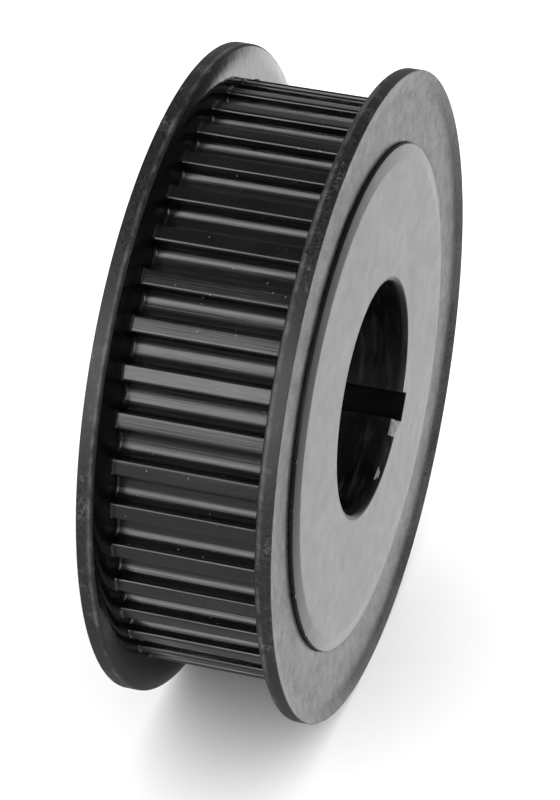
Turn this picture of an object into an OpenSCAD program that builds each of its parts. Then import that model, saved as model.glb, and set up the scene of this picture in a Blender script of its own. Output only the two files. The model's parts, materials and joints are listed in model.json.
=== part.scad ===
// Timing belt pulley, hubless, with a flange on both sides.
// One toothed steel body with a keyed bore carries two pressed sheet flanges. A lip rolled out
// of the body's shoulder holds each flange, and two set screws lock the pulley on its shaft.
// The pulley's axis lies along Y and the origin is the centre of the bore, halfway along it.
// The front face is towards -Y and Z is up, with the pulley standing on its rims.
// The modules work in an axial frame, with Z towards the front, and to_row() turns it into place.

/* [Teeth] */
// Number of belt grooves round the body
tooth_count = 40; // [40:1:60]
// Distance between grooves along the pitch circle
tooth_pitch = 5; // [4.8:0.1:5.4]
// How far the pitch circle lies outside the tooth tips
pitch_line_offset = 0.57; // [0.4:0.01:0.8]
// Depth of a groove below the tooth tips
groove_depth = 1.9; // [1.7:0.05:2.1]
// Width of a groove between its straight flanks
groove_w = 3; // [2.8:0.1:3.1]
// Radius of the two lower corners of a groove
groove_corner_r = 1.25; // [1:0.05:1.4]
// Radius of the rounded tooth tips
tooth_tip_r = 0.3; // [0.15:0.05:0.4]

/* [Width] */
// Overall width, from front rim to rear rim
overall_w = 20.5; // [18:0.5:30]

/* [Flanges] */
// How far the flange rim stands above the tooth tips
flange_height = 3.74; // [3.5:0.02:4.5]
// Thickness of the flange sheet
sheet_t = 1.6; // [1.2:0.1:1.8]
// Angle by which the rim flares away from the belt
flare_angle = 20; // [14:1:22]
// Radius of the bend on the outer face of the sheet
bend_r = 4; // [3:0.5:5]
// Flat land on the flange outside the tooth tips, before the bend starts
flat_over_tips = 1.14; // [0.8:0.02:1.3]
// Radius of the rounded rim corner on the belt side
rim_round_r = 0.45; // [0.2:0.05:0.5]

/* [Rolled lips] */
// Distance from the tooth tips in to the edge of the rolled lip
lip_inset = 4.06; // [3.8:0.02:4.6]
// How far the lip reaches out over the flange
lip_overhang = 0.9; // [0.4:0.1:1.2]
// Width of the sloping band that the rolling tool leaves on the lip
lip_slope_w = 1.62; // [1:0.02:2]
// Drop of that band from the hub face to the edge of the lip
lip_slope_drop = 0.28; // [0.1:0.02:0.32]

/* [Bore] */
// Diameter of the shaft bore
bore_d = 25; // [20:1:28]
// Chamfer at both ends of the bore
bore_chamfer = 0.6; // [0.2:0.05:0.8]
// Width of the keyway
key_w = 3; // [2.5:0.1:6]
// Depth of the keyway outside the bore wall
key_depth = 1.9; // [1:0.1:2]
// Clock angle of the keyway on the front face, anticlockwise from the three o'clock position
key_angle = -38.5; // [-90:0.5:0]

/* [Set screws] */
// Diameter of the set screws
screw_d = 4; // [3:0.5:4]
// Length of the set screws
screw_l = 10; // [8:0.5:11]
// Width across flats of the hexagon sockets
socket_af = 2; // [1.5:0.1:2]

/* [Hidden] */

$fn = 96;
ARC_STEPS = 8;
EPS = 0.01;
// How far a cutting shape reaches past the metal it cuts.
CUT_MARGIN = 1;

body_color = [0.13, 0.13, 0.135];
flange_color = [0.30, 0.30, 0.31];
screw_color = [0.08, 0.08, 0.085];

half_w = overall_w / 2;
tooth_angle = 360 / tooth_count;
tip_r = tooth_count * tooth_pitch / (2 * PI) - pitch_line_offset;
rim_r = tip_r + flange_height;
lip_r = tip_r - lip_inset;
seat_r = lip_r - lip_overhang;
bore_r = bore_d / 2;
key_floor_r = bore_r + key_depth;

// The flange's outer face is flat up to bend_start_r, then bends, then runs straight to the rim.
bend_start_r = tip_r + flat_over_tips;
bend_end_r = bend_start_r + bend_r * sin(flare_angle);
bend_rise = bend_r * (1 - cos(flare_angle));
flare_rise = bend_rise + (rim_r - bend_end_r) * tan(flare_angle);
flange_w = flare_rise + sheet_t;
channel_w = overall_w - 2 * flange_w;
seat_clearance = 0.02;
slit_w = 0.18;

// The rounded rim corner touches the rim and the sloping belt side of the sheet.
belt_bend_r = bend_r + sheet_t;
belt_slope_r = bend_start_r + belt_bend_r * sin(flare_angle);
belt_slope_z = flare_rise - bend_r + belt_bend_r * cos(flare_angle);
rim_round_x = rim_r - rim_round_r;
rim_round_z = belt_slope_z
    - (rim_round_r - sin(flare_angle) * (belt_slope_r - rim_round_x)) / cos(flare_angle);

// The keyway and both set screws line up with tooth grooves, and the screws are 90 degrees apart.
side_screw_angle = key_angle + tooth_angle * round(90 / tooth_angle);
screw_clearance = 0.05;
tip_gap = 0.3;
key_screw_tip_r = key_floor_r + tip_gap;
side_screw_tip_r = bore_r + tip_gap;
screw_chamfer = 0.4;
socket_depth = 2.5;
cup_r = 1;
cup_depth = 0.7;

// A hand-filed facet eases the front corner beside the keyway.
facet_start_r = bore_r + 2.5;
facet_offset = 6.1;
facet_turn = 228;
facet_l = 4;
facet_w = 2.5;
facet_tilt = 17;

// Turns the axial frame into the row frame: the axial Z becomes -Y, towards the front.
module to_row() {
    rotate([90, 0, 0]) children();
}

// Points of an arc about (x, y), from angle a0 to angle a1.
function arc(x, y, r, a0, a1) = [
    for (i = [0 : ARC_STEPS])
        let (a = a0 + (a1 - a0) * i / ARC_STEPS)
        [x + r * cos(a), y + r * sin(a)]
];

// Half section of a flange: x is the radius and y the depth behind the rim plane.
function flange_section() = concat(
    [[seat_r + seat_clearance, flare_rise + sheet_t]],
    [[seat_r + seat_clearance, flare_rise + slit_w]],
    [[lip_r - slit_w, flare_rise + slit_w]],
    [[lip_r + slit_w, flare_rise]],
    arc(bend_start_r, flare_rise - bend_r, bend_r, 90, 90 - flare_angle),
    [[rim_r, 0]],
    arc(rim_round_x, rim_round_z, rim_round_r, 0, 90 - flare_angle),
    arc(bend_start_r, flare_rise - bend_r, belt_bend_r, 90 - flare_angle, 90)
);

// One flange in front of the belt channel, its rim at the front end of the pulley.
module pressed_flange() {
    translate([0, 0, half_w]) mirror([0, 0, 1]) rotate_extrude() polygon(flange_section());
}

// Half section of the body without its teeth, from the bore out to the flange seats.
function core_section() = [
    [bore_r, half_w - bore_chamfer],
    [bore_r + bore_chamfer, half_w],
    [lip_r - lip_slope_w, half_w],
    [lip_r, half_w - lip_slope_drop],
    [lip_r, half_w - flare_rise],
    [seat_r, half_w - flare_rise],
    [seat_r, -half_w + flare_rise],
    [lip_r, -half_w + flare_rise],
    [lip_r, -half_w + lip_slope_drop],
    [lip_r - lip_slope_w, -half_w],
    [bore_r + bore_chamfer, -half_w],
    [bore_r, -half_w + bore_chamfer],
];

// The space of one belt groove, pointing along +X, open past the tooth tips.
module groove_space() {
    floor_x = tip_r - groove_depth;
    half_groove = groove_w / 2;
    corner_x = floor_x + groove_corner_r;
    corner_y = half_groove - groove_corner_r;
    round_y = half_groove + tooth_tip_r;
    round_x = sqrt(pow(tip_r - tooth_tip_r, 2) - pow(round_y, 2));
    mouth_x = tip_r + CUT_MARGIN;
    round_angle = atan2(round_y, round_x);
    for (side = [-1, 1]) translate([corner_x, side * corner_y]) circle(groove_corner_r);
    translate([floor_x, -corner_y]) square([groove_corner_r, 2 * corner_y]);
    translate([corner_x, -half_groove]) square([mouth_x - corner_x, groove_w]);
    for (side = [-1, 1]) difference() {
        polygon([
            [round_x, side * (half_groove - EPS)],
            [round_x, side * round_y],
            [tip_r * cos(round_angle), side * tip_r * sin(round_angle)],
            [mouth_x, side * tip_r * sin(round_angle)],
            [mouth_x, side * (half_groove - EPS)],
        ]);
        translate([round_x, side * round_y]) circle(tooth_tip_r);
    }
}

// Outline of the toothed rim.
module toothed_outline() {
    difference() {
        circle(tip_r, $fn = 360);
        for (i = [0 : tooth_count - 1])
            rotate(key_angle + i * tooth_angle) groove_space($fn = 48);
    }
}

// A radial hole for a set screw, from the bore axis out through the groove floor.
module screw_hole(angle) {
    rotate([0, 90, angle]) cylinder(r = screw_d / 2 + screw_clearance, h = tip_r + CUT_MARGIN);
}

// The wedge of metal filed off beside the keyway at the front end of the bore.
module filed_facet() {
    rotate(key_angle - facet_offset) translate([facet_start_r, 0, half_w])
        rotate(facet_turn) rotate([facet_tilt, 0, 0])
            translate([0, -facet_w, 0]) cube([facet_l, facet_w, facet_w]);
}

// One set screw along +X: a cup point at tip_r0 and a hexagon socket at the outer end.
module set_screw(tip_r0) {
    shank_r = screw_d / 2;
    cup_rim_r = cup_r + screw_chamfer / 2;
    translate([tip_r0, 0, 0]) rotate([0, 90, 0]) difference() {
        rotate_extrude() polygon([
            [0, 0],
            [cup_rim_r, 0],
            [shank_r, shank_r - cup_rim_r],
            [shank_r, screw_l - screw_chamfer],
            [shank_r - screw_chamfer, screw_l],
            [0, screw_l],
        ]);
        translate([0, 0, -EPS]) cylinder(r1 = cup_r, r2 = 0, h = cup_depth);
        translate([0, 0, screw_l - socket_depth])
            cylinder(d = socket_af / cos(30), h = socket_depth + CUT_MARGIN, $fn = 6);
    }
}

module toothed_body() {
    color(body_color) to_row() difference() {
        union() {
            rotate_extrude() polygon(core_section());
            linear_extrude(channel_w, center = true) difference() {
                toothed_outline();
                circle(key_floor_r + CUT_MARGIN);
            }
        }
        rotate(key_angle) translate([0, -key_w / 2, -half_w - CUT_MARGIN])
            cube([key_floor_r, key_w, overall_w + 2 * CUT_MARGIN]);
        screw_hole(key_angle);
        screw_hole(side_screw_angle);
        filed_facet();
    }
}

module front_flange() {
    color(flange_color) to_row() pressed_flange();
}

module rear_flange() {
    color(flange_color) to_row() mirror([0, 0, 1]) pressed_flange();
}

module key_set_screw() {
    color(screw_color) to_row() rotate(key_angle) set_screw(key_screw_tip_r);
}

module side_set_screw() {
    color(screw_color) to_row() rotate(side_screw_angle) set_screw(side_screw_tip_r);
}

toothed_body();
front_flange();
rear_flange();
key_set_screw();
side_set_screw();
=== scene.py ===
import json
import math
import random

import bmesh
import bpy
from mathutils import Matrix, Vector


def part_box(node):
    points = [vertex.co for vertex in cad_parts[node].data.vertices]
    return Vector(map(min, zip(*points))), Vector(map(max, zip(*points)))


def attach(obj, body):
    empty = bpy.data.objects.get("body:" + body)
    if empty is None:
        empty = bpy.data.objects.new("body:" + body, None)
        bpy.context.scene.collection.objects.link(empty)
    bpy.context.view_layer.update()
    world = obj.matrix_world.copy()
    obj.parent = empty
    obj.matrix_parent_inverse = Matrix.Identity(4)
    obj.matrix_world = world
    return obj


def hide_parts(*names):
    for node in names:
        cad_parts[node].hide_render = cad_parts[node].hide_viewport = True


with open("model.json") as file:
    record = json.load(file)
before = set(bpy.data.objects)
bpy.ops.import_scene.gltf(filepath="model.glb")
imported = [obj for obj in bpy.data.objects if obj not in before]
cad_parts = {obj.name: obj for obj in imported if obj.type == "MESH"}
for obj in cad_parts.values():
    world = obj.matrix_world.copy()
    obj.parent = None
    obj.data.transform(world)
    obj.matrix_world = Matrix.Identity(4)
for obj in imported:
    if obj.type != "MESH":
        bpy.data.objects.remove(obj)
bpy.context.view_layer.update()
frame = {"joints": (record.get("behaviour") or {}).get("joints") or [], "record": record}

# ---------------------------------------------------------------------------
# Sizes. The frame is in metres; lengths written here are millimetres times MM.
# The pulley's axis is Y, its front face is towards -Y and Z is up.
# ---------------------------------------------------------------------------
MM = 0.001

flange_low, flange_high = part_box("front_flange")
body_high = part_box("toothed_body")[1]
mounts = {mount["name"]: mount for mount in frame["record"]["mounts"]}
joints = {joint["name"]: joint for joint in frame["joints"]}

RIM_R = min(-flange_low.x, flange_high.x, flange_high.z)
HALF_W = body_high.y
CHANNEL_HALF_W = -flange_high.y
BORE_R = mounts["shaft_bore"]["dims"]["r_mm"] * MM


def clock_angle(joint_name):
    """Angle of a set screw's axis about the bore, from +X towards +Z, in radians."""
    axis = joints[joint_name]["axis"]
    return math.atan2(axis[2], axis[0])


KEY_ANGLE = clock_angle("key_screw_travel")
SIDE_SCREW_ANGLE = clock_angle("side_screw_travel")

# Teeth
TOOTH_COUNT = 40
TIP_R = 31.26 * MM
GROOVE_DEPTH = 1.9 * MM
GROOVE_HALF_W = 1.5 * MM
GROOVE_CORNER_R = 1.25 * MM
TOOTH_TIP_R = 0.3 * MM
END_FILLET = 0.35 * MM
END_FILLET_TURN = math.radians(70)

# Bore and keyway
BORE_CHAMFER = 0.6 * MM
KEY_HALF_W = 1.5 * MM
KEY_DEPTH = 1.9 * MM
KEY_FLOOR_R = BORE_R + KEY_DEPTH
KEY_WALL_BREAK = 0.14 * MM
KEY_FLOOR_BREAK = 0.30 * MM
# How far the edge of the bore turns from the wall towards the face
EDGE_TURN = math.radians(84)
FACET_R = 14.8 * MM
FACET_ANGLE = math.radians(8.5)
# A painted highlight on the bore's edge: a bright spot given the filed facet's colour, placed as an angle
# from the keyway's middle
PAINTED_GLINT_TURN = math.radians(38)
PAINTED_GLINT_HALF_ANGLE = math.radians(4.5)
PAINTED_GLINT_W = 0.16 * MM

# Lips and flange seats
LIP_R = 27.2 * MM
SEAT_R = 26.3 * MM
LIP_SLOPE_W = 1.62 * MM
LIP_SLOPE_DROP = 0.28 * MM
SLIT_W = 0.18 * MM

# Flanges
SHEET_T = 1.6 * MM
FLARE_RISE = flange_high.y - flange_low.y - SHEET_T
FLARE_ANGLE = math.radians(20)
BEND_R = 4 * MM
BEND_START_R = TIP_R + 1.14 * MM
RIM_ROUND_R = 0.45 * MM
RIM_EDGE_R = 0.09 * MM
RIM_CORNER_DEPTH = SHEET_T - RIM_ROUND_R / 2

# Set screws
SCREW_R = 2 * MM
SCREW_L = 10 * MM
SOCKET_AF = 2 * MM
SOCKET_DEPTH = 2.5 * MM
SCREW_TIP_GAP = 0.3 * MM
SCREW_CHAMFER = 0.4 * MM
SCREW_SIDES = 72
CUP_R = 1 * MM
CUP_DEPTH = 0.7 * MM
THREAD_PITCH = 0.7 * MM
THREAD_DEPTH = 0.38 * MM
HOLE_R = 2.05 * MM
HOLE_START_R = 9 * MM

# Edges turned by more than this stay sharp.
SMOOTH_ANGLE = math.radians(32)

# Specks of burr on the edge of the front lip: clock angle and width in degrees, height in mm
LIP_BURRS = ((159, 0.5, 0.16), (170.3, 0.35, 0.10), (194, 0.9, 0.18), (211, 0.6, 0.14), (248, 0.5, 0.10))


def arc(centre, radius, start, end, steps):
    """Points of an arc in a plane, from angle start to angle end, in radians."""
    points = []
    for i in range(steps + 1):
        angle = start + (end - start) * i / steps
        points.append((centre[0] + radius * math.cos(angle), centre[1] + radius * math.sin(angle)))
    return points


def lerp(a, b, t):
    return a + (b - a) * t


# ---------------------------------------------------------------------------
# Meshes
# ---------------------------------------------------------------------------
def loop_mesh(name, loops, closed, caps=False):
    """A mesh lofted through loops of equal length; closed joins the last loop to the first."""
    mesh = bpy.data.meshes.new(name)
    bm = bmesh.new()
    rows = [[bm.verts.new(point) for point in loop] for loop in loops]
    count = len(rows[0])
    pairs = list(zip(rows, rows[1:]))
    if closed:
        pairs.append((rows[-1], rows[0]))
    for low, high in pairs:
        for i in range(count):
            j = (i + 1) % count
            bm.faces.new((low[i], low[j], high[j], high[i]))
    if caps:
        bm.faces.new(rows[0])
        bm.faces.new(rows[-1])
    bmesh.ops.recalc_face_normals(bm, faces=bm.faces)
    bm.to_mesh(mesh)
    bm.free()
    return mesh


def add_piece(name, mesh, node, body):
    """Links a finished mesh as a piece that stands for a CAD node and rides on its body."""
    piece = bpy.data.objects.new(name, mesh)
    bpy.context.scene.collection.objects.link(piece)
    mesh.shade_smooth()
    mesh.set_sharp_from_angle(angle=SMOOTH_ANGLE)
    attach(piece, body)
    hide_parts(node)
    return piece


def groove_outline():
    """Half pitch of the tooth outline, from the groove's middle out to the land's middle.
    The first coordinate is radial and the second is across the groove."""
    floor_x = TIP_R - GROOVE_DEPTH
    corner = (floor_x + GROOVE_CORNER_R, GROOVE_HALF_W - GROOVE_CORNER_R)
    round_y = GROOVE_HALF_W + TOOTH_TIP_R
    round_x = math.sqrt((TIP_R - TOOTH_TIP_R) ** 2 - round_y ** 2)
    land_start = math.atan2(round_y, round_x)
    land_end = math.pi / TOOTH_COUNT
    points = [(floor_x, 0.0)]
    points += arc(corner, GROOVE_CORNER_R, math.pi, math.pi / 2, 9)
    points += arc((round_x, round_y), TOOTH_TIP_R, -math.pi / 2, land_start, 6)
    for i in (1, 2, 3):
        angle = lerp(land_start, land_end, i / 3)
        points.append((TIP_R * math.cos(angle), TIP_R * math.sin(angle)))
    return points


def tooth_outline():
    """The whole tooth outline as (x, z) points, starting from the land before the keyway groove."""
    half = groove_outline()
    pitch = [(x, -y) for x, y in reversed(half[1:])] + half[:-1]
    points = []
    for i in range(TOOTH_COUNT):
        angle = KEY_ANGLE + i * 2 * math.pi / TOOTH_COUNT
        turn_cos, turn_sin = math.cos(angle), math.sin(angle)
        points += [(x * turn_cos - y * turn_sin, x * turn_sin + y * turn_cos) for x, y in pitch]
    return points


OUTLINE = tooth_outline()
LOOP_COUNT = len(OUTLINE)
# Angles from the keyway's middle at which every loop inside the teeth has its points.
LOOP_ANGLES = [
    (i + 0.5) * 2 * math.pi / LOOP_COUNT - math.pi / TOOTH_COUNT for i in range(LOOP_COUNT)
]
LOOP_ANGLES = [angle if angle <= math.pi else angle - 2 * math.pi for angle in LOOP_ANGLES]


def end_buildup():
    """How much of the fillet against a flange each point of the outline gets: uneven on purpose."""
    random.seed(5)
    shares = []
    for _ in range(TOOTH_COUNT):
        tooth = random.uniform(0.4, 1.0)
        shares += [tooth + random.uniform(-0.3, 0.3) for _ in range(LOOP_COUNT // TOOTH_COUNT)]
    return shares


END_BUILDUP = end_buildup()


def tooth_loop(y, rise=0.0):
    points = []
    for (x, z), share in zip(OUTLINE, END_BUILDUP):
        grow = 1 + rise * share / math.hypot(x, z)
        points.append(Vector((x * grow, y, z * grow)))
    return points


def tooth_loops():
    """The toothed rim, with a small uneven fillet where it meets each flange."""
    end = []
    for turn in (0.0, 0.25, 0.5, 0.75, 1.0):
        angle = turn * END_FILLET_TURN
        end.append((CHANNEL_HALF_W - END_FILLET * (1 - math.sin(angle)), END_FILLET * (1 - math.cos(angle))))
    loops = [tooth_loop(-y, rise) for y, rise in reversed(end)]
    loops += [tooth_loop(share * CHANNEL_HALF_W) for share in (-0.5, 0, 0.5)]
    loops += [tooth_loop(y, rise) for y, rise in end]
    return loops


def polar_point(radius, angle, y):
    return Vector((radius * math.cos(KEY_ANGLE + angle), y, radius * math.sin(KEY_ANGLE + angle)))


def circle_loop(radius, y):
    return [polar_point(radius, angle, y) for angle in LOOP_ANGLES]


def keyway_corners(bore_r, wall, floor_r):
    """Angles at which the keyway's wall meets its floor and the bore."""
    return math.atan2(wall, floor_r), math.asin(wall / bore_r)


def keyed_loop(bore_r, wall, floor_r, bore_y, key_y, facet_r=None):
    """A loop round the bore and keyway. Its points keep their share of the floor, walls and bore,
    so that loops of different sizes join corner to corner."""
    base_floor, base_bore = keyway_corners(BORE_R, KEY_HALF_W, KEY_FLOOR_R)
    floor_corner, bore_corner = keyway_corners(bore_r, wall, floor_r)
    step = 2 * math.pi / LOOP_COUNT
    points = []
    for base in LOOP_ANGLES:
        side = 1 if base >= 0 else -1
        turn = abs(base)
        if abs(turn - base_floor) < step / 2:
            turn = base_floor
        if abs(turn - base_bore) < step / 2:
            turn = base_bore
        if turn <= base_floor:
            angle = floor_corner * turn / base_floor
            radius = floor_r / math.cos(angle)
            y = key_y
        elif turn < base_bore:
            share = (turn - base_floor) / (base_bore - base_floor)
            angle = lerp(floor_corner, bore_corner, share)
            radius = wall / math.sin(angle)
            y = key_y
        else:
            share = (turn - base_bore) / (math.pi - base_bore)
            angle = lerp(bore_corner, math.pi, share)
            radius = bore_r
            y = bore_y
            if facet_r and side < 0 and angle < bore_corner + FACET_ANGLE:
                radius = lerp(facet_r, bore_r, (angle - bore_corner) / FACET_ANGLE)
        points.append(polar_point(radius, side * angle, y))
    return points


def blend_loops(a, b, t):
    return [p.lerp(q, t) for p, q in zip(a, b)]


def rounded_loops(wall, face):
    """Loops from the bore wall to the face, leaving the wall in a smooth round."""
    loops = []
    for turn in (0.0, 0.14, 0.28, 0.42, 0.56, 0.70, 0.84, 1.0):
        across = (1 - math.cos(turn * EDGE_TURN)) / (1 - math.cos(EDGE_TURN))
        along = math.sin(turn * EDGE_TURN) / math.sin(EDGE_TURN)
        loops.append([
            Vector((lerp(p.x, q.x, across), lerp(p.y, q.y, along), lerp(p.z, q.z, across)))
            for p, q in zip(wall, face)
        ])
    return loops


def lip_loops(side):
    """Loops from the hub face out over the rolled lip and under it to the flange seat."""
    face_r = LIP_R - LIP_SLOPE_W
    slope = LIP_SLOPE_DROP / LIP_SLOPE_W
    section = [
        (face_r - 0.10 * MM, 0.0),
        (face_r, 0.004 * MM),
        (face_r + 0.10 * MM, 0.10 * MM * slope),
        (LIP_R - 0.14 * MM, LIP_SLOPE_DROP - 0.14 * MM * slope),
    ]
    section += [(r, d) for r, d in arc((LIP_R - 0.08 * MM, LIP_SLOPE_DROP + 0.07 * MM),
                                       0.08 * MM, -math.pi / 2 + 0.17, 0, 4)]
    section += [
        (LIP_R, FLARE_RISE - 0.04 * MM),
        (LIP_R - 0.04 * MM, FLARE_RISE),
        (SEAT_R + 0.04 * MM, FLARE_RISE),
        (SEAT_R, FLARE_RISE + 0.04 * MM),
        (SEAT_R, HALF_W - CHANNEL_HALF_W),
    ]
    loops = [circle_loop(r, side * (HALF_W - depth)) for r, depth in section]
    if side < 0:
        for loop in loops[5:10]:
            raise_burrs(loop)
    return loops


def raise_burrs(loop):
    """Pushes points of the lip's edge outwards where a speck of burr stands on it."""
    for point in loop:
        turn = math.degrees(math.atan2(point.z, point.x)) % 360
        for centre, width, height in LIP_BURRS:
            rise = 1 - abs(turn - centre) / width
            if rise > 0:
                grow = 1 + rise * height * MM / LIP_R
                point.x *= grow
                point.z *= grow


def hub_face_loops(side):
    """Loops from the bore wall over its chamfer and across the hub face."""
    facet_r = FACET_R if side < 0 else None
    wall_y = side * (HALF_W - BORE_CHAMFER)
    key_y = side * (HALF_W - KEY_FLOOR_BREAK)
    face_y = side * HALF_W
    inner = keyed_loop(BORE_R, KEY_HALF_W, KEY_FLOOR_R, wall_y, key_y)
    outer = keyed_loop(BORE_R + BORE_CHAMFER, KEY_HALF_W + KEY_WALL_BREAK,
                       KEY_FLOOR_R + KEY_FLOOR_BREAK, face_y, face_y, facet_r)
    last = circle_loop(LIP_R - LIP_SLOPE_W - 0.10 * MM, face_y)
    loops = rounded_loops(inner, outer)
    loops += [blend_loops(outer, last, t) for t in (0.008, 0.05, 0.2, 0.4, 0.6, 0.8, 0.95)]
    return loops


def body_mesh():
    front_wall = keyed_loop(BORE_R, KEY_HALF_W, KEY_FLOOR_R,
                            -(HALF_W - BORE_CHAMFER) + 0.05 * MM, -(HALF_W - KEY_FLOOR_BREAK) + 0.05 * MM)
    middle = keyed_loop(BORE_R, KEY_HALF_W, KEY_FLOOR_R, 0, 0)
    rear_wall = keyed_loop(BORE_R, KEY_HALF_W, KEY_FLOOR_R,
                           HALF_W - BORE_CHAMFER - 0.05 * MM, HALF_W - KEY_FLOOR_BREAK - 0.05 * MM)
    loops = [middle, front_wall]
    loops += hub_face_loops(-1)
    loops += lip_loops(-1)
    loops += tooth_loops()
    loops += list(reversed(lip_loops(1)))
    loops += list(reversed(hub_face_loops(1)))
    loops += [rear_wall]
    return loop_mesh("toothed_body", loops, closed=True)


def flange_section():
    """Closed section of a flange as (radius, depth behind the rim plane)."""
    sin_flare, cos_flare = math.sin(FLARE_ANGLE), math.cos(FLARE_ANGLE)
    bend_centre = (BEND_START_R, FLARE_RISE - BEND_R)
    belt_bend_r = BEND_R + SHEET_T
    slope_r = BEND_START_R + belt_bend_r * sin_flare
    slope_z = bend_centre[1] + belt_bend_r * cos_flare
    round_x = RIM_R - RIM_ROUND_R
    round_z = slope_z - (RIM_ROUND_R - sin_flare * (slope_r - round_x)) / cos_flare
    edge_x = RIM_R - RIM_EDGE_R
    edge_z = RIM_EDGE_R * (1 + sin_flare * 0.35)
    hole_r = SEAT_R + 0.02 * MM
    back = FLARE_RISE + SHEET_T
    quarter = math.pi / 2
    section = [
        (hole_r, back - 0.1 * MM),
        (hole_r, FLARE_RISE + SLIT_W),
        (LIP_R - SLIT_W, FLARE_RISE + SLIT_W),
        (LIP_R + SLIT_W - 0.02 * MM, FLARE_RISE + 0.02 * MM),
        (LIP_R + SLIT_W + 0.03 * MM, FLARE_RISE),
    ]
    section += [(r * MM, FLARE_RISE) for r in (28.5, 30, 31.5, 32.2)]
    section += arc(bend_centre, BEND_R, quarter, quarter - FLARE_ANGLE, 10)
    section += arc((edge_x, edge_z), RIM_EDGE_R, -quarter - FLARE_ANGLE, 0, 6)
    section += arc((round_x, round_z), RIM_ROUND_R, 0, quarter - FLARE_ANGLE, 8)
    section += arc(bend_centre, belt_bend_r, quarter - FLARE_ANGLE, quarter, 10)
    section += [(r * MM, back) for r in (32.2, 31, 29, 27)]
    section += [(hole_r + 0.1 * MM, back)]
    return section


FLANGE_STEPS = 540


def flange_mesh(name, side):
    loops = []
    for radius, depth in flange_section():
        y = side * (HALF_W - depth)
        loops.append([
            Vector((radius * math.cos(2 * math.pi * i / FLANGE_STEPS), y,
                    radius * math.sin(2 * math.pi * i / FLANGE_STEPS)))
            for i in range(FLANGE_STEPS)
        ])
    return loop_mesh(name, loops, closed=True)


def radial_frame(angle):
    """Turns local Z into the radial direction at a clock angle, and local Y into the bore axis."""
    return Matrix.Rotation(-angle, 4, "Y") @ Matrix.Rotation(math.pi / 2, 4, "Y")


def with_screw_holes(mesh):
    """The same mesh with the two radial holes cut through it."""
    target = bpy.data.objects.new("uncut", mesh)
    bpy.context.scene.collection.objects.link(target)
    drills = []
    for angle in (KEY_ANGLE, SIDE_SCREW_ANGLE):
        bm = bmesh.new()
        length = TIP_R + 1 * MM - HOLE_START_R
        bmesh.ops.create_cone(bm, cap_ends=True, segments=72, radius1=HOLE_R, radius2=HOLE_R, depth=length)
        bm.transform(radial_frame(angle) @ Matrix.Translation((0, 0, HOLE_START_R + length / 2)))
        drill_mesh = bpy.data.meshes.new("drill")
        bm.to_mesh(drill_mesh)
        bm.free()
        drill = bpy.data.objects.new("drill", drill_mesh)
        bpy.context.scene.collection.objects.link(drill)
        cut = target.modifiers.new("hole", "BOOLEAN")
        cut.operation = "DIFFERENCE"
        cut.solver = "EXACT"
        cut.object = drill
        drills.append(drill)
    evaluated = target.evaluated_get(bpy.context.evaluated_depsgraph_get())
    cut_mesh = bpy.data.meshes.new_from_object(evaluated)
    for leftover in [target] + drills:
        bpy.data.objects.remove(leftover)
    return cut_mesh


def ring(radius, height, sides=SCREW_SIDES):
    """A ring of points about the screw's axis; sides=6 puts the same points on a hexagon."""
    points = []
    for i in range(SCREW_SIDES):
        angle = 2 * math.pi * i / SCREW_SIDES
        reach = radius
        if sides == 6:
            reach = radius / math.cos((angle % (math.pi / 3)) - math.pi / 6)
        points.append((reach * math.cos(angle), reach * math.sin(angle), height))
    return points


def thread_ring(height, relief):
    """A ring on the thread; relief is how much of the groove is cut at this height."""
    points = []
    for i in range(SCREW_SIDES):
        turn = i / SCREW_SIDES
        phase = (height / THREAD_PITCH - turn) % 1
        groove = min(max(1.35 - abs(2 * phase - 1) * 1.6, 0.0), 1.0)
        radius = SCREW_R - THREAD_DEPTH * relief * (1 - groove)
        angle = 2 * math.pi * turn
        points.append((radius * math.cos(angle), radius * math.sin(angle), height))
    return points


def screw_mesh(name, angle, tip_r):
    """A set screw from its cup point at tip_r out to its hexagon socket."""
    rings = [
        ring(0.05 * MM, CUP_DEPTH),
        ring(CUP_R - 0.06 * MM, 0.04 * MM),
        ring(CUP_R, 0.0),
        ring(CUP_R + 0.16 * MM, 0.0),
        ring(CUP_R + 0.22 * MM, 0.03 * MM),
    ]
    start, end = SCREW_R - CUP_R - 0.2 * MM, SCREW_L - SCREW_CHAMFER
    steps = round((end - start) / (THREAD_PITCH / 10))
    for i in range(steps + 1):
        height = lerp(start, end, i / steps)
        relief = min((height - start) / THREAD_PITCH, (end - height) / THREAD_PITCH, 1.0)
        rings.append(thread_ring(height, relief))
    hexagon = SOCKET_AF / 2
    rings += [
        ring(SCREW_R - SCREW_CHAMFER, SCREW_L - 0.02 * MM),
        ring(SCREW_R - SCREW_CHAMFER - 0.03 * MM, SCREW_L),
        ring(hexagon + 0.18 * MM, SCREW_L),
        ring(hexagon, SCREW_L - 0.12 * MM, sides=6),
        ring(hexagon, SCREW_L - SOCKET_DEPTH + 0.3 * MM, sides=6),
        ring(0.05 * MM, SCREW_L - SOCKET_DEPTH, sides=6),
    ]
    place = radial_frame(angle) @ Matrix.Translation((0, 0, tip_r))
    loops = [[place @ Vector(point) for point in points] for points in rings]
    return loop_mesh(name, loops, closed=False, caps=True)


# ---------------------------------------------------------------------------
# Camera
# ---------------------------------------------------------------------------
VIEW_AZIMUTH = math.radians(-73.22)
VIEW_ELEVATION = math.radians(35.85)
VIEW_DISTANCE = 409.5 * MM
VIEW_LENS = 174.3
AIM_RIGHT = -9.87 * MM
AIM_UP = -0.155 * MM


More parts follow.
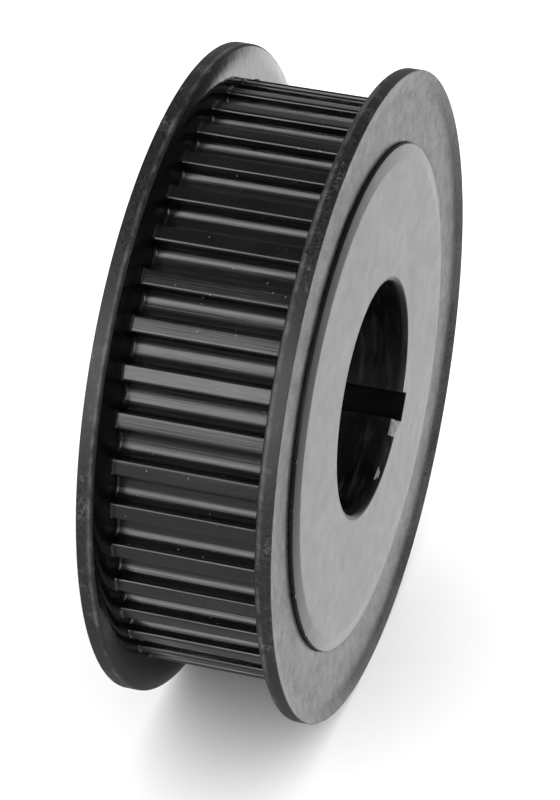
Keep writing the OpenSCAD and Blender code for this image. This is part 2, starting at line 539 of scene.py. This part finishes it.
def make_camera():
    """A long lens on the tooth side, turned so that the pulley's middle is in the picture's middle."""
    back = Vector((math.sin(VIEW_AZIMUTH) * math.cos(VIEW_ELEVATION),
                   -math.cos(VIEW_AZIMUTH) * math.cos(VIEW_ELEVATION),
                   math.sin(VIEW_ELEVATION)))
    right = Vector((math.cos(VIEW_AZIMUTH), math.sin(VIEW_AZIMUTH), 0))
    up = back.cross(right)
    rim_centre = Vector((0, -HALF_W, 0))
    location = rim_centre + back * VIEW_DISTANCE
    aim = rim_centre + right * AIM_RIGHT + up * AIM_UP
    forward = (aim - location).normalized()
    level = forward.cross(up).normalized()
    camera = bpy.data.objects.new("camera", bpy.data.cameras.new("camera"))
    camera.data.lens = VIEW_LENS
    camera.data.sensor_width = 36
    camera.data.clip_start = 0.01
    camera.matrix_world = Matrix.Translation(location) @ Matrix(
        (level, level.cross(forward), -forward)).transposed().to_4x4()
    bpy.context.scene.collection.objects.link(camera)
    bpy.context.scene.camera = camera


make_camera()

# ---------------------------------------------------------------------------
# Materials. Every pattern is worked out from the object's own coordinates.
# ---------------------------------------------------------------------------
class Steel:
    """A blackened steel: a dark oxide skin on a Principled shader, built up from noise nodes."""

    def __init__(self, name, ior):
        self.material = bpy.data.materials.new(name)
        self.material.use_nodes = True
        self.tree = self.material.node_tree
        self.shader = self.tree.nodes["Principled BSDF"]
        self.shader.inputs["IOR"].default_value = ior
        self.place = self.tree.nodes.new("ShaderNodeTexCoord").outputs["Object"]
        parts = self.node("ShaderNodeSeparateXYZ", Vector=self.place)
        self.x, self.y, self.z = parts.outputs
        self.radius = self.math("SQRT", self.math("ADD", self.math("MULTIPLY", self.x, self.x),
                                                  self.math("MULTIPLY", self.z, self.z)))

    def node(self, kind, **inputs):
        """A new node; each input is a value or another node's output."""
        made = self.tree.nodes.new(kind)
        for name, value in inputs.items():
            self.feed(made.inputs[name.replace("_", " ")], value)
        return made

    def feed(self, socket, value):
        if isinstance(value, bpy.types.NodeSocket):
            self.tree.links.new(value, socket)
        else:
            socket.default_value = value

    def math(self, operation, a, b=0.0):
        made = self.tree.nodes.new("ShaderNodeMath")
        made.operation = operation
        self.feed(made.inputs[0], a)
        self.feed(made.inputs[1], b)
        return made.outputs[0]

    def scaled(self, across, along):
        """Object coordinates in 1/mm: across for X and Z, along for Y."""
        factors = (across / MM, along / MM, across / MM)
        return self.node("ShaderNodeMapping", Vector=self.place, Scale=factors).outputs[0]

    def ring_place(self, per_mm, around):
        """Coordinates that change quickly with radius and slowly round the axis."""
        safe = self.math("MAXIMUM", self.radius, 1 * MM)
        return self.node("ShaderNodeCombineXYZ",
                         X=self.math("MULTIPLY", self.radius, per_mm / MM),
                         Y=self.math("MULTIPLY", self.math("DIVIDE", self.x, safe), around),
                         Z=self.math("MULTIPLY", self.math("DIVIDE", self.z, safe), around)).outputs[0]

    def noise(self, place, detail=2.0, rough=0.5):
        return self.node("ShaderNodeTexNoise", Vector=place, Scale=1.0, Detail=detail,
                         Roughness=rough).outputs["Fac"]

    def span(self, value, low, high, to_low=0.0, to_high=1.0):
        """value from low..high mapped to to_low..to_high, and held at the ends."""
        made = self.node("ShaderNodeMapRange", Value=value)
        for name, number in zip(("From Min", "From Max", "To Min", "To Max"), (low, high, to_low, to_high)):
            self.feed(made.inputs[name], number)
        return made.outputs[0]

    def near(self, value, centre, half_width):
        """1 where value is at centre, falling to 0 at half_width from it."""
        gap = self.math("ABSOLUTE", self.math("SUBTRACT", value, centre))
        return self.span(gap, 0.0, half_width, 1.0, 0.0)

    def grey(self, value):
        """A neutral colour of the given brightness."""
        return self.node("ShaderNodeCombineColor", Red=value, Green=value,
                         Blue=self.math("MULTIPLY", value, 1.03)).outputs[0]

    def bump(self, heights):
        """heights is a list of (height, depth in mm); they stack in one chain."""
        normal = None
        for height, depth in heights:
            made = self.node("ShaderNodeBump", Height=height, Distance=depth * MM, Strength=1.0)
            if normal is not None:
                self.feed(made.inputs["Normal"], normal)
            normal = made.outputs[0]
        self.feed(self.shader.inputs["Normal"], normal)

    def finish(self, color, roughness):
        self.feed(self.shader.inputs["Base Color"], self.grey(color))
        self.feed(self.shader.inputs["Roughness"], roughness)
        return self.material


def milled_steel():
    """Teeth: fine cutter lines along the axis, oily dark patches and a few bright specks."""
    steel = Steel("milled_steel", 2.0)
    lines = steel.noise(steel.scaled(3.6, 0.035), detail=4, rough=0.7)
    fine_lines = steel.noise(steel.scaled(10, 0.08), detail=2)
    patches = steel.noise(steel.scaled(0.3, 0.18), detail=3)
    specks = steel.span(steel.noise(steel.scaled(2.2, 2.2), detail=1), 0.77, 0.80)
    color = steel.math("ADD", steel.span(patches, 0.35, 0.65, 0.001, 0.004),
                       steel.math("MULTIPLY", specks, 0.12))
    roughness = steel.math("ADD", steel.span(lines, 0.3, 0.7, 0.09, 0.22),
                           steel.span(patches, 0.35, 0.65, -0.02, 0.04))
    steel.bump([(lines, 0.030), (fine_lines, 0.008)])
    return steel.finish(color, roughness)


def turned_steel():
    """Hub faces and lips: concentric tool marks, soft blotches and a few rubbed streaks."""
    steel = Steel("turned_steel", 2.0)
    rings = steel.noise(steel.ring_place(6.0, 1.2), detail=3)
    blotches = steel.noise(steel.scaled(0.10, 0.10), detail=5, rough=0.6)
    rubbed = steel.noise(steel.scaled(0.5, 0.5), detail=3)
    streaks = steel.span(steel.noise(steel.ring_place(1.6, 4.0), detail=4), 0.50, 0.75)
    color = steel.math("ADD", steel.span(blotches, 0.3, 0.7, 0.003, 0.008),
                       steel.math("MULTIPLY", streaks, 0.010))
    roughness = steel.math("ADD", steel.span(blotches, 0.3, 0.7, 0.27, 0.31),
                           steel.span(rubbed, 0.35, 0.65, -0.015, 0.02))
    steel.bump([(rings, 0.0022), (rubbed, 0.002)])
    return steel.finish(color, roughness)


def bore_steel():
    """Bore wall: dark, with fine boring marks round it and scuffs along it."""
    steel = Steel("bore_steel", 1.5)
    marks = steel.noise(steel.scaled(0.15, 9), detail=2)
    scuffs = steel.noise(steel.scaled(0.22, 1.6), detail=4, rough=0.6)
    stains = steel.noise(steel.scaled(0.3, 0.3), detail=3)
    in_bore = steel.span(steel.radius, BORE_R + 0.3 * MM, BORE_R + 0.6 * MM, 1.0, 0.0)
    color = steel.math("ADD", steel.span(stains, 0.3, 0.7, 0.001, 0.004),
                       steel.math("MULTIPLY", steel.span(scuffs, 0.50, 0.75, 0.0, 0.016), in_bore))
    roughness = steel.span(stains, 0.3, 0.7, 0.34, 0.46)
    steel.bump([(marks, 0.004), (scuffs, 0.006)])
    return steel.finish(color, roughness)


def keyway_steel():
    """Keyway: broached along the axis, and black with oil."""
    steel = Steel("keyway_steel", 1.2)
    strokes = steel.noise(steel.scaled(5, 0.12), detail=3)
    stains = steel.noise(steel.scaled(0.4, 0.4), detail=3)
    steel.bump([(strokes, 0.010)])
    roughness = steel.span(strokes, 0.3, 0.7, 0.45, 0.60)
    return steel.finish(steel.span(stains, 0.3, 0.7, 0.001, 0.003), roughness)


def filed_steel_and_glint():
    """Facet beside the keyway: bare metal with file strokes across it. The same bright colour also paints a
    highlight spot on the bore's edge.
    """
    steel = Steel("filed_steel_and_glint", 2.0)
    strokes = steel.noise(steel.scaled(1.0, 9), detail=3)
    patches = steel.noise(steel.scaled(1.2, 1.2), detail=2)
    color = steel.math("ADD", steel.span(strokes, 0.3, 0.7, 0.10, 0.22),
                       steel.span(patches, 0.35, 0.65, -0.04, 0.06))
    steel.bump([(strokes, 0.01)])
    return steel.finish(color, steel.span(strokes, 0.3, 0.7, 0.35, 0.5))


def sheet_steel():
    """Outer face of a flange: pressed sheet with a sandy grey grain and dull stains."""
    steel = Steel("sheet_steel", 1.9)
    grain = steel.noise(steel.scaled(3.4, 3.4), detail=3, rough=0.65)
    coarse = steel.noise(steel.scaled(0.7, 0.7), detail=3, rough=0.6)
    stains = steel.noise(steel.scaled(0.12, 0.12), detail=3)
    color = steel.math("ADD", steel.span(grain, 0.35, 0.65, 0.008, 0.070),
                       steel.span(stains, 0.35, 0.65, -0.012, 0.012))
    roughness = steel.span(coarse, 0.3, 0.7, 0.33, 0.43)
    steel.bump([(grain, 0.012), (coarse, 0.004)])
    return steel.finish(color, roughness)


def sheared_steel():
    """Cut rim of a flange: dull and dark, with fine shear marks and worn light patches."""
    steel = Steel("sheared_steel", 1.8)
    marks = steel.noise(steel.scaled(4.5, 3.5), detail=2, rough=0.6)
    coarse = steel.noise(steel.scaled(0.35, 0.35), detail=4, rough=0.65)
    worn = steel.math("MULTIPLY", steel.span(coarse, 0.54, 0.68), steel.span(marks, 0.42, 0.6))
    depth = steel.math("SUBTRACT", HALF_W, steel.math("ABSOLUTE", steel.y))
    corner = steel.math("MULTIPLY", steel.near(depth, RIM_CORNER_DEPTH, 0.3 * MM),
                        steel.span(coarse, 0.40, 0.55))
    color = steel.math("ADD", steel.span(marks, 0.35, 0.65, 0.001, 0.016),
                       steel.math("MULTIPLY", steel.math("ADD", worn, corner), 0.05))
    roughness = steel.span(marks, 0.3, 0.7, 0.40, 0.58)
    steel.bump([(marks, 0.012)])
    return steel.finish(color, roughness)


def oiled_steel():
    """Belt side of a flange: glossy black, slightly rippled by the press."""
    steel = Steel("oiled_steel", 1.8)
    ripple = steel.noise(steel.scaled(0.8, 0.8), detail=2)
    grain = steel.noise(steel.scaled(3.2, 3.2), detail=2)
    roughness = steel.span(ripple, 0.3, 0.7, 0.08, 0.18)
    steel.bump([(ripple, 0.02), (grain, 0.004)])
    return steel.finish(steel.span(grain, 0.3, 0.7, 0.001, 0.004), roughness)


def screw_steel():
    """Set screws: smooth black oxide with a faint mottle."""
    steel = Steel("screw_steel", 1.9)
    mottle = steel.noise(steel.scaled(1.2, 1.2), detail=3)
    fine = steel.noise(steel.scaled(6, 6), detail=2)
    steel.bump([(fine, 0.003)])
    return steel.finish(steel.span(mottle, 0.3, 0.7, 0.03, 0.06), steel.span(mottle, 0.3, 0.7, 0.28, 0.42))


# ---------------------------------------------------------------------------
# Pieces
# ---------------------------------------------------------------------------
# Places in a piece's list of materials
TURNED, BORE, FILED_AND_GLINT, KEYWAY = 1, 2, 3, 4
SHEARED, OILED = 1, 2
# How far a face's middle may lie off a surface and still belong to it
ON_FACE_GAP = 0.001 * MM
IN_KEYWAY_GAP = 0.02 * MM
LIP_EDGE_GAP = 0.1 * MM


def paint_body(piece):
    """The teeth, turned faces, bore, filed facet and keyway each get their own finish. A painted highlight
    spot on the bore's edge takes the filed facet's finish.
    """
    for material in (milled_steel(), turned_steel(), bore_steel(), filed_steel_and_glint(), keyway_steel()):
        piece.data.materials.append(material)
    facet_start = math.asin(KEY_HALF_W / BORE_R)
    for face in piece.data.polygons:
        centre = face.center
        radius = math.hypot(centre.x, centre.z)
        turn = (KEY_ANGLE - math.atan2(centre.z, centre.x)) % (2 * math.pi)
        across = radius * abs(math.sin(turn))
        in_keyway = radius * math.cos(turn) > BORE_R and across < KEY_HALF_W + IN_KEYWAY_GAP
        on_face = abs(centre.y) > HALF_W - ON_FACE_GAP
        if radius < LIP_R + LIP_EDGE_GAP:
            face.material_index = TURNED
        if radius < FACET_R and not on_face:
            face.material_index = BORE
            near_front = centre.y < -HALF_W + BORE_CHAMFER
            if in_keyway:
                face.material_index = KEYWAY
            elif near_front and facet_start < turn < facet_start + FACET_ANGLE:
                face.material_index = FILED_AND_GLINT
            # Painted highlight: a bright spot on the bore's edge, coloured with the filed facet's finish
            elif near_front and radius - BORE_R < PAINTED_GLINT_W * (1 - abs(turn - PAINTED_GLINT_TURN) / PAINTED_GLINT_HALF_ANGLE):
                face.material_index = FILED_AND_GLINT


def paint_flange(piece, side, materials):
    """The outer face, the cut rim and the belt side of a flange each get their own finish."""
    for material in materials:
        piece.data.materials.append(material)
    for face in piece.data.polygons:
        outward = face.normal.y * side
        if -0.85 < outward < 0.35:
            face.material_index = SHEARED
        elif outward < 0:
            face.material_index = OILED


def add_body():
    mesh = with_screw_holes(body_mesh())
    body = add_piece("toothed_body_steel", mesh, "toothed_body", "pulley")
    paint_body(body)


def add_flanges():
    finishes = (sheet_steel(), sheared_steel(), oiled_steel())
    for node, side in (("front_flange", -1), ("rear_flange", 1)):
        name = node + "_sheet"
        flange = add_piece(name, flange_mesh(name, side), node, "pulley")
        paint_flange(flange, side, finishes)


def add_screws():
    finish = screw_steel()
    for node, body, angle, tip_r in (
        ("key_set_screw", "key_screw", KEY_ANGLE, KEY_FLOOR_R + SCREW_TIP_GAP),
        ("side_set_screw", "side_screw", SIDE_SCREW_ANGLE, BORE_R + SCREW_TIP_GAP),
    ):
        name = node + "_steel"
        screw = add_piece(name, screw_mesh(name, angle, tip_r), node, body)
        screw.data.materials.append(finish)


add_body()
add_flanges()
add_screws()

# ---------------------------------------------------------------------------
# Floor and light
# ---------------------------------------------------------------------------
FLOOR_SIZE = 4.0


def make_floor():
    corners = [(-1, -1), (1, -1), (1, 1), (-1, 1)]
    mesh = bpy.data.meshes.new("floor")
    mesh.from_pydata([(x * FLOOR_SIZE, y * FLOOR_SIZE, -RIM_R) for x, y in corners], [], [(0, 1, 2, 3)])
    floor = bpy.data.objects.new("floor", mesh)
    bpy.context.scene.collection.objects.link(floor)
    material = bpy.data.materials.new("pale_floor")
    material.use_nodes = True
    shader = material.node_tree.nodes["Principled BSDF"]
    shader.inputs["Base Color"].default_value = (0.93, 0.93, 0.93, 1)
    shader.inputs["Roughness"].default_value = 0.9
    shader.inputs["Specular IOR Level"].default_value = 0.0
    mesh.materials.append(material)
    floor.visible_glossy = False


def make_shade():
    """The shaded strip of table between the rims, which only reflections in the steel see."""
    half_x, half_y = 0.8 * RIM_R, HALF_W - 0.2 * MM
    corners = [(-half_x, -half_y), (half_x, -half_y), (half_x, half_y), (-half_x, half_y)]
    mesh = bpy.data.meshes.new("shade")
    mesh.from_pydata([(x, y, -RIM_R + 0.05 * MM) for x, y in corners], [], [(0, 1, 2, 3)])
    shade = bpy.data.objects.new("shade", mesh)
    bpy.context.scene.collection.objects.link(shade)
    shade.visible_camera = False
    shade.visible_diffuse = False
    shade.visible_shadow = False
    material = bpy.data.materials.new("shaded_table")
    material.use_nodes = True
    shader = material.node_tree.nodes["Principled BSDF"]
    shader.inputs["Base Color"].default_value = (0.35, 0.35, 0.35, 1)
    shader.inputs["Roughness"].default_value = 0.9
    shader.inputs["Specular IOR Level"].default_value = 0.0
    mesh.materials.append(material)


def make_studio():
    """A white surround for the floor and backdrop, and a shaded one for reflections in the steel:
    dim above, mid grey below and bright low down on the right."""
    world = bpy.data.worlds.new("studio")
    bpy.context.scene.world = world
    world.use_nodes = True
    world.cycles.sampling_method = "NONE"
    tree = world.node_tree
    tree.nodes.clear()

    def feed(socket, value):
        if isinstance(value, bpy.types.NodeSocket):
            tree.links.new(value, socket)
        else:
            socket.default_value = value

    def node(kind, **inputs):
        made = tree.nodes.new(kind)
        for name, value in inputs.items():
            feed(made.inputs[name.replace("_", " ")], value)
        return made

    def add(a, b):
        made = tree.nodes.new("ShaderNodeMath")
        made.operation = "ADD"
        feed(made.inputs[0], a)
        feed(made.inputs[1], b)
        return made.outputs[0]

    def lobe(direction, low, high, strength):
        """Light from round one direction, rising from the cosine low to the cosine high."""
        dot = tree.nodes.new("ShaderNodeVectorMath")
        dot.operation = "DOT_PRODUCT"
        tree.links.new(way, dot.inputs[0])
        dot.inputs[1].default_value = Vector(direction).normalized()
        ramp = tree.nodes.new("ShaderNodeMapRange")
        ramp.interpolation_type = "SMOOTHSTEP"
        tree.links.new(dot.outputs["Value"], ramp.inputs["Value"])
        for name, number in zip(("From Min", "From Max", "To Min", "To Max"), (low, high, 0.0, strength)):
            ramp.inputs[name].default_value = number
        return ramp.outputs[0]

    way = node("ShaderNodeTexCoord").outputs["Generated"]
    glow = 0.10
    for direction, low, high, strength in (
        ((-0.83, 0.17, 0.50), 0.80, 0.97, 0.9),
        ((-0.83, 0.17, 0.50), 0.93, 0.99, 1.6),
        ((0, 0.6, -1), -0.15, 0.35, 0.26),
        ((0.79, -0.20, -0.58), 0.925, 0.985, 1.5),
        ((0.90, 0.20, -0.10), 0.70, 0.98, 0.2),
        ((-0.60, 0.70, 0.38), 0.92, 0.98, 2.0),
        ((0, -1, 0.15), 0.82, 0.98, 0.5),
        ((0, 1, 0.15), 0.75, 0.98, 0.6),
    ):
        glow = add(glow, lobe(direction, low, high, strength))
    path = node("ShaderNodeLightPath")
    white = node("ShaderNodeBackground", Strength=1.6)
    shaded = node("ShaderNodeBackground", Strength=glow)
    both = node("ShaderNodeMixShader", Fac=path.outputs["Is Glossy Ray"])
    tree.links.new(white.outputs[0], both.inputs[1])
    tree.links.new(shaded.outputs[0], both.inputs[2])
    out = node("ShaderNodeOutputWorld")
    tree.links.new(both.outputs[0], out.inputs["Surface"])
    white.inputs["Color"].default_value = (1, 1, 1, 1)


make_floor()
make_shade()
make_studio()
bpy.context.scene.view_settings.view_transform = "Standard"
